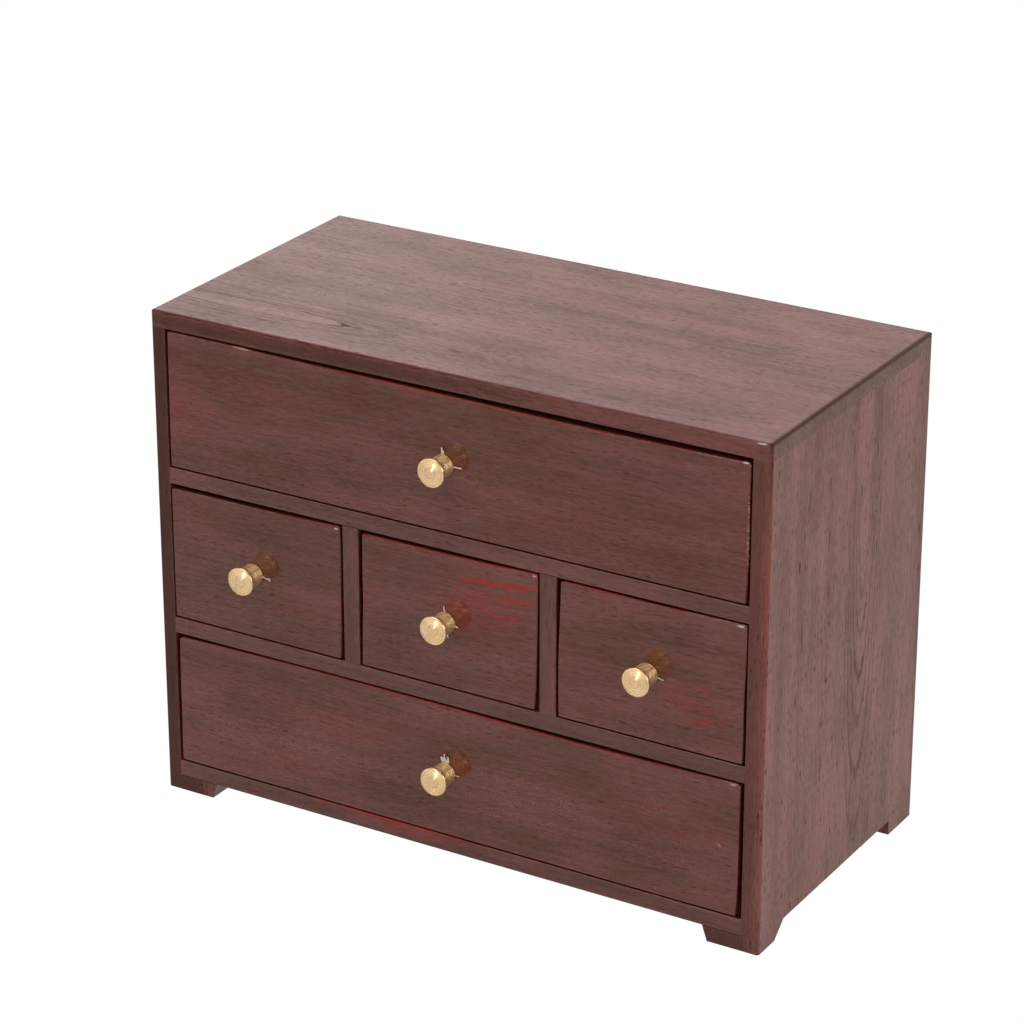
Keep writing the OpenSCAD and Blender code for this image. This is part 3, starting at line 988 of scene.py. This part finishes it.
# %% [markdown]
# Corners of the fronts are worn: each time a drawer sticks, it is lifted or pushed there. A
# slanting cut takes the corner off, and the cut is closed with a face. Each front has a list of
# its worn corners: -1 or 1 for left or right, -1 or 1 for lower or upper, and how much is gone.

# %% Chip a corner
def chip_corner(shape, corner, size, slope):
    """Cuts the shape off size millimetres inside a corner, along the direction of slope."""
    normal = Vector(slope).normalized()
    cut = bmesh.ops.bisect_plane(
        shape, geom=shape.verts[:] + shape.edges[:] + shape.faces[:],
        plane_co=(Vector(corner) - normal * size) * MM, plane_no=normal, clear_outer=True,
        dist=ON_CUT,
    )
    rim = [part for part in cut["geom_cut"] if isinstance(part, bmesh.types.BMEdge)]
    bmesh.ops.holes_fill(shape, edges=rim, sides=0)


# Which way a worn corner is cut: sideways, out of the face and upwards
CHIP_SLOPE = (1.0, -0.8, 1.6)
CHIPS = {
    "top_drawer": [(1, 1, 1.0), (-1, -1, 0.9)],
    "left_drawer": [(1, 1, 0.8), (-1, 1, 0.9)],
    "middle_drawer": [(1, 1, 0.8), (-1, 1, 0.6)],
    "right_drawer": [(1, 1, 0.8), (1, -1, 0.6)],
    "bottom_drawer": [(1, 1, 1.2), (-1, -1, 1.1)],
}


def chip_corners(shape, drawer):
    """Finds each worn corner of a fitted front and cuts it off."""
    left, right, above = opening_of(drawer)
    gaps = GAPS[drawer]
    sideways, outwards, upwards = CHIP_SLOPE
    for across, up, size in CHIPS[drawer]:
        end = -1 if up > 0 else 0
        if across > 0:
            x = right - gaps["right"][end]
            z_high = above - gaps["above"][-1]
        else:
            x = left + gaps["left"][end]
            z_high = above - gaps["above"][0]
        z = z_high if up > 0 else box_of(drawer + "_front")[0].z
        chip_corner(shape, (x, front_y, z), size, (sideways * across, outwards, upwards * up))


print("Worn corners are listed for", len(CHIPS), "fronts")

# %% [markdown]
# Each front has its own colour story. The top one glows crimson at its left end, two of the small ones
# have bright red streaks where the stain is thin, and pale specks of polish sit in the pores of the
# lowest. A pale spot at each front's chipped upper right corner is a painted highlight, where the
# broken corner catches the light from above.

# %% The look of each front
def patch(colour, x, z, width, height, strength, broken=0.8, slant=0.0):
    """A mark that goes through the whole thickness of a front."""
    return mark(colour, (x, front_y, z), (width, FAR, height), strength, broken, slant)


LOOKS = {
    "top_drawer": dict(
        seed=41, tilt=0.02,
        marks=[
            patch(CRIMSON, -140, 190, 36, 34, 0.55),
            patch(CRIMSON, -90, 200, 50, 20, 0.25),
            patch(CRIMSON, 60, 175, 90, 26, 0.25),
            patch(DARK, -60, 175, 50, 12, 0.2),
            patch(DARK, 95, 205, 60, 10, 0.2),
            mark(TAN, (-103, front_y, 220.3), (8, 2.5, 1.0), 0.8, 0.5),
            mark(TAN, (98, front_y, 219.6), (12, 2.0, 0.8), 0.6, 0.8),
            mark(TAN, (140.3, front_y, 185), (1.1, 2.5, 36), 0.8, 0.8),
            # Painted highlight on the chipped upper right corner
            mark(PALE, (138.5, front_y, 219.2), (3.2, 2, 0.8), 0.9, 0.8),
        ],
        polish=[patch(PALE, 95, 172, 70, 26, 0.5), patch(PALE, -60, 178, 70, 20, 0.35)],
    ),
    "left_drawer": dict(
        seed=42, tilt=0.015, wine=-0.08,
        marks=[
            patch(DARK, -95, 132, 45, 16, 0.2, 0.7),
            patch(CRIMSON, -130, 138, 22, 12, 0.25),
            patch(CRIMSON, -80, 104, 30, 12, 0.2),
            # Painted highlight on the chipped upper right corner
            mark(PALE, (-56.7, front_y, 147.4), (2.0, 2, 0.8), 0.9, 0.8),
        ],
        polish=[patch(PALE, -110, 115, 40, 20, 0.25)],
    ),
    "middle_drawer": dict(
        seed=43, tilt=0.03, sway=12,
        marks=[
            patch(CRIMSON, 14, 128, 40, 28, 0.65),
            patch(BRIGHT_RED, 24, 140, 36, 3.0, 0.9, 0.6, -5),
            patch(BRIGHT_RED, 32, 134, 24, 2.4, 0.8, 0.7, -5),
            patch(BRIGHT_RED, 28, 126, 20, 2.2, 0.45, 0.9, -5),
            # Painted highlight on the chipped upper right corner
            mark(PALE, (41.6, front_y, 147.9), (1.5, 2, 0.8), 0.7, 0.8),
        ],
    ),
    "right_drawer": dict(
        seed=44, tilt=0.03, sway=10,
        marks=[
            patch(CRIMSON, 116, 108, 34, 18, 0.6),
            patch(BRIGHT_RED, 118, 115, 24, 2.6, 0.35, 0.9, -6),
            patch(BRIGHT_RED, 120, 101, 20, 3.0, 0.35, 0.9, -6),
            patch(DARK, 110, 137, 40, 14, 0.25, 0.7),
            # Painted highlight on the chipped upper right corner
            mark(PALE, (138, front_y, 148.0), (3.4, 2, 0.8), 0.9, 0.8),
        ],
        polish=[patch(PALE, 90, 118, 50, 30, 0.2)],
    ),
    "bottom_drawer": dict(
        seed=45, tilt=0.02, sway=12,
        marks=[
            patch(DARK, -105, 52, 50, 26, 0.28, 0.7),
            patch(DARK, -30, 28, 70, 16, 0.22),
            patch(DARK, 105, 38, 55, 24, 0.22),
            patch(CRIMSON, -60, 55, 70, 16, 0.3, 0.9),
            patch(CRIMSON, -80, 30, 60, 18, 0.3, 0.9),
            patch(CRIMSON, 110, 50, 50, 16, 0.3),
            patch(TAN, 130.6, 46.6, 1.6, 0.6, 0.9, 0.0, 25),
            # Painted highlight on the chipped upper right corner
            mark(PALE, (136.5, front_y, 76.2), (4.0, 2, 1.1), 1.0, 0.7),
        ],
        polish=[patch(PALE, 50, 44, 130, 42, 1.0), patch(PALE, -80, 42, 80, 34, 0.7)],
    ),
}
print("Looks are written for", len(LOOKS), "fronts")

# %% [markdown]
# Now the fronts can be made. Stain covers a front's face and nearly the whole of its thickness,
# and the back is bare. Their lacquer is smoother than that of the top and the sides, so they
# mirror the knobs.

# %% Make the fronts
# How far from the face the stain reaches, in millimetres
STAINED_DEPTH = 7.1

for drawer in DRAWERS:
    node = drawer + "_front"
    low, high = box_of(node)
    shape = merged_copy(node)
    fit_front(shape, drawer)
    chip_corners(shape, drawer)
    note_rims(shape, drawer)
    material = lacquered(
        "stained " + node.replace("_", " "), "xzy", worn="rims",
        bare=(*behind(front_y + STAINED_DEPTH), 2.0), level=0.96, glow=0.16, figure=0.5, rub=0.2,
        # The bright red along each front's top edge is rubbed wear and partly a painted highlight from
        # the light above
        rubs_and_highlights=[mark(BRIGHT_RED, (20, front_y, high.z), (150, 4, 4), 1.3)],
        relief=0.5, lacquer=0.70, shine=1.4, dull=0.12, pores=0.9, **LOOKS[drawer],
    )
    add_piece(node + "_fitted", shape, material, drawer, node)
print("Five fronts are fitted by hand")

# %% [markdown]
# ## The drawer boxes
# Walls and back are plain sawn boards, which carry over from the frame with their shapes as they
# are. Stain that ran round the front shows at the front ends of the walls, which also keeps the
# gaps dark.

# %% Drawer walls
wall_wood = lacquered("sawn wall wood", "yzx", 51, EVERYWHERE, behind(front_y + OVERRUN), ring=5.0)
back_wood = lacquered("sawn back wood", "xzy", 52, EVERYWHERE, EVERYWHERE, ring=5.0)
for drawer in DRAWERS:
    dress(drawer + "_left_wall", wall_wood)
    dress(drawer + "_right_wall", wall_wood)
    dress(drawer + "_back_wall", back_wood)
print("Fifteen walls are sawn boards")

# %% [markdown]
# Drawer bottoms and the cabinet's back are thin plywood. Its veneer is peeled off a turning log,
# so the figure is broad and soft, with faint rings and fine specks of pores.

# %% Drawer bottoms and the back panel
VENEER = (0.55, 0.38, 0.23)
VENEER_DARK = (0.36, 0.22, 0.12)
VENEER_RING = (0.33, 0.19, 0.10)
VENEER_PORE = (0.17, 0.09, 0.05)


def plywood(name, order, seed):
    sheet = Shade(bpy.data.materials.new(name))
    place = millimetres(sheet)
    board = grain_of(place, order, seed, heart=-300, depth=40, lean=0.02, ring=13, sway=9)
    figure = board.streak * 0.5 + board.band * 0.5 + board.fibre * 0.5 + board.fleck * 0.3
    colour = mix(rise(figure, -0.3, 0.3), VENEER_DARK, VENEER)
    colour = mix(board.late * 0.2, colour, VENEER_RING)
    colour = mix(board.pore * 0.45, colour, VENEER_PORE)
    return finish(sheet, colour, 0.62 + board.pore * 0.15, board.fibre * 0.03 - board.pore * 0.04)


floor_ply = plywood("drawer bottom plywood", "xyz", 61)
for drawer in DRAWERS:
    dress(drawer + "_floor", floor_ply)
dress("back_panel", plywood("back panel plywood", "xzy", 62))
print("Six panels are plywood")

# %% [markdown]
# ## Turned brass knobs
# A knob comes off the lathe: a straight foot and neck that flares towards a thin rim, and a flat
# face with fine rings and a dimple where the centre stood. Spinning its profile makes the shape.
# A UV map of radius and depth is laid on it, so that one material can cut the rings on every
# knob.

# %% The profile of a knob
knob_low, knob_high = box_of("top_drawer_knob")
KNOB_R = (knob_high.x - knob_low.x) / 2
KNOB_L = knob_high.y - knob_low.y
# How far the knob stands off the wood, so that the two share no face
SEAT = 0.02
FOOT_R = 5.0
FOOT_T = 0.9
FOOT_EDGE = 0.25
NECK_R = 4.8
RIM_T = 0.9
FLARE_R = 5.8
FLARE_END = math.radians(40)
FLARE_STEPS = 8
LATHE_STEPS = 64
# The rounding of the rim: how far inside the rim and how far below the face
RIM_ROUND = [(0.0, 0.6), (0.0, 0.3), (0.1, 0.15), (0.3, 0.08), (0.8, 0.04)]
# The flat and the dimple: radius and how far below the face
FACE = [(3.0, 0.0), (0.9, 0.0), (0.5, 0.06), (0.0, 0.35)]
neck_out = KNOB_L - RIM_T - FLARE_R * math.sin(FLARE_END)

# Radius and distance out from the drawer front, from the drawer to the centre of the face
knob_profile = [(0.0, SEAT), (FOOT_R - FOOT_EDGE, SEAT), (FOOT_R, FOOT_EDGE), (FOOT_R, FOOT_T)]
for step in range(FLARE_STEPS + 1):
    turn = FLARE_END * step / FLARE_STEPS
    knob_profile.append(
        (NECK_R + FLARE_R * (1 - math.cos(turn)), neck_out + FLARE_R * math.sin(turn))
    )
knob_profile += [(KNOB_R - inset, KNOB_L - drop) for inset, drop in RIM_ROUND]
knob_profile += [(radius, KNOB_L - drop) for radius, drop in FACE]
print("The profile has", len(knob_profile), "points")

# %% Spin a knob
def knob_centre(drawer):
    """Where a knob's axis meets the drawer front, in metres."""
    low, high = box_of(drawer + "_knob")
    return Vector(((low.x + high.x) / 2, front_y, (low.z + high.z) / 2)) * MM


def turned(profile, centre):
    """Spins (radius, distance out) about the Y axis through centre, which lies on the front."""
    shape = bmesh.new()
    verts = [shape.verts.new((centre.x + r * MM, centre.y - out * MM, centre.z)) for r, out in profile]
    for first, second in zip(verts, verts[1:]):
        shape.edges.new((first, second))
    bmesh.ops.spin(
        shape, geom=shape.verts[:] + shape.edges[:], cent=centre, axis=(0, 1, 0), angle=2 * math.pi,
        steps=LATHE_STEPS, use_merge=True,
    )
    bmesh.ops.remove_doubles(shape, verts=shape.verts, dist=WELD)
    bmesh.ops.recalc_face_normals(shape, faces=shape.faces)
    layer = shape.loops.layers.uv.new("turning")
    for face in shape.faces:
        face.smooth = True
        for loop in face.loops:
            off = (loop.vert.co - centre) / MM
            loop[layer].uv = (math.hypot(off.x, off.z), -off.y)
    return shape


print("A profile is spun in", LATHE_STEPS, "steps")

# %% [markdown]
# The brass is browner in patches, and the fine rings of the turning are light and dark in its colour,
# which is a painted reflection. Its rings are noise that only knows the radius and the depth, so they
# run true round the knob. Those of the face slope like the thread that a pointed tool leaves, and
# gather the light of a lamp into one streak.

# %% Brass
RING_PITCH = 0.45
BRASS_LIGHT = (1.0, 0.76, 0.46)
BRASS_SHADE = (0.76, 0.46, 0.20)
BRASS_BROWN = (0.50, 0.28, 0.12)


def brass():
    metal = Shade(bpy.data.materials.new("turned brass"))
    turning = metal.node("UVMap", {"uv_map": "turning"})
    place = millimetres(metal)
    radius, depth, _ = parts(turning)
    on_body = rise(depth, neck_out + 2.6, neck_out + 1.2)
    fine = noise(turning, (0.11, 0.16, 1), detail=2, roughness=0.6)
    rings = noise(turning, (0.32, 0.32, 1), detail=3, roughness=0.6)
    coarse = noise(turning, (0.45, 0.6, 1), detail=2)
    stained = rise(noise(place, (3.5, 3.5, 3.5), detail=4, roughness=0.7), -0.08, 0.2)
    # Painted reflection: the turning rings are laid into the colour as light and dark brass
    colour = mix(rings * 5.0 + coarse * 1.2 + 0.5, BRASS_SHADE, BRASS_LIGHT)
    colour = mix(stained * 0.22, colour, BRASS_BROWN)
    rim_start = KNOB_L - RIM_ROUND[0][1]
    on_face = rise(depth, rim_start, rim_start + 0.1)
    roughness = 0.36 + rings * 0.1 + stained * 0.08 - on_face * 0.18
    thread = metal.maths("FRACT", radius / RING_PITCH) * on_face
    relief = fine * (on_body * 0.19 + 0.01) + coarse * 0.014 - thread * 0.16
    return finish(metal, colour, roughness, relief, metallic=1.0)


brass_metal = brass()
for drawer in DRAWERS:
    node = drawer + "_knob"
    shape = turned(knob_profile, knob_centre(drawer))
    knob = add_piece(node + "_turned", shape, brass_metal, drawer, node)
print("A knob is", round(KNOB_L, 1), "mm long and has", len(knob.data.polygons), "faces")

# %% [markdown]
# The knobs were screwed on over a sheet of protective film. It was torn off round them, and
# white scraps still stick out at their feet: spikes, a strip, a crumpled tuft. Each scrap is a
# narrow grid bent away from the wood, and solidify gives it the thickness of film.

# %% Scraps of film
FILM_T = 0.06
# How far a scrap starts under the knob's foot and off the wood, in millimetres
TUCKED = 0.4
FILM_OFF = 0.08
FILM_CELLS = 8
FILM_WHITE = (0.84, 0.82, 0.82)
FILM_CREASE_SHADE = (0.50, 0.46, 0.46)


def torn_film():
    plastic = Shade(bpy.data.materials.new("torn film"))
    crease = noise(millimetres(plastic), (0.8, 0.8, 0.8), detail=3, roughness=0.6)
    # Painted shade: the noise darkens the film to grey, standing in for the shade of its crinkles
    colour = mix(rise(crease, -0.2, 0.2), FILM_CREASE_SHADE, FILM_WHITE)
    return finish(plastic, colour, 0.42 + crease * 0.2, crease * 0.2)


def film_scraps(scraps, centre):
    """Each scrap has a direction in degrees clockwise from above, a length and a width, how far
    it tapers, a bend sideways and a lift off the wood."""
    shape = bmesh.new()
    for direction, length, width, taper, bend, lift in scraps:
        turn = math.radians(direction)
        out_way = Vector((math.sin(turn), 0, math.cos(turn)))
        side_way = Vector((math.cos(turn), 0, -math.sin(turn)))
        # The grid is one unit long, so share runs from 0 at the knob to 1 at the tip
        grid = bmesh.ops.create_grid(shape, x_segments=FILM_CELLS, y_segments=1, size=0.5)
        for vert in grid["verts"]:
            share = vert.co.x + 0.5
            out = FOOT_R - TUCKED + length * share
            side = vert.co.y * width * (1 - taper * share) + bend * math.sin(3 * share)
            off = out_way * out + side_way * side - Vector((0, FILM_OFF + lift * share, 0))
            vert.co = centre + off * MM
    bmesh.ops.solidify(shape, geom=shape.faces[:], thickness=FILM_T * MM)
    return shape


FILM_SCRAPS = {
    "top_drawer": [(-3, 3.7, 1.9, 0.7, 0.15, 1.0), (87, 4.4, 0.6, 0.2, 0.1, 0.3)],
    "left_drawer": [(92, 4.4, 0.45, 0.2, 0.5, 0.3), (99, 4.6, 0.4, 0.2, -0.3, 0.5)],
    "middle_drawer": [
        (-2, 3.0, 0.8, 0.5, -0.4, 0.6), (98, 2.0, 1.5, 0.8, 0.1, 0.4),
        (168, 2.6, 0.9, 0.4, 0.2, 0.4),
    ],
    "right_drawer": [(98, 3.2, 0.6, 0.3, 0.15, 0.4)],
    "bottom_drawer": [
        (-10, 3.2, 1.7, 0.3, -0.3, 0.8), (2, 5.0, 1.4, 0.6, -0.35, 1.4),
        (9, 3.6, 1.5, 0.4, 0.35, 0.5), (91, 2.6, 0.5, 0.2, 0.1, 0.2),
    ],
}
film = torn_film()
for drawer, scraps in FILM_SCRAPS.items():
    add_piece(drawer + "_film_scraps", film_scraps(scraps, knob_centre(drawer)), film, drawer)
print("Film is left at", len(FILM_SCRAPS), "knobs")

# %% [markdown]
# ## Screws and pins
# The screws are zinc-plated steel, a cool grey with a faint cloudy bloom and fine scratches, and
# the pins are brighter wire. These pieces keep their own shapes.

# %% Steel
def steel(name, colour, dull):
    metal = Shade(bpy.data.materials.new(name))
    place = millimetres(metal)
    bloom = noise(place, (1.4, 1.4, 1.4), detail=4, roughness=0.65)
    scratch = noise(place, (0.12, 2.5, 0.12), detail=2)
    tint = mix(rise(bloom, -0.15, 0.2), colour, dull)
    return finish(metal, tint, 0.38 + bloom * 0.2, scratch * 0.006 + bloom * 0.004, metallic=1.0)


zinc = steel("zinc-plated steel", (0.72, 0.72, 0.74), (0.50, 0.51, 0.53))
wire = steel("bright wire", (0.60, 0.60, 0.61), (0.40, 0.38, 0.37))
for drawer in DRAWERS:
    dress(drawer + "_screw", zinc)
    dress(drawer + "_pins", wire)
dress("back_pins", wire)
dress("foot_pins", wire)
print("Screws and pins are steel")
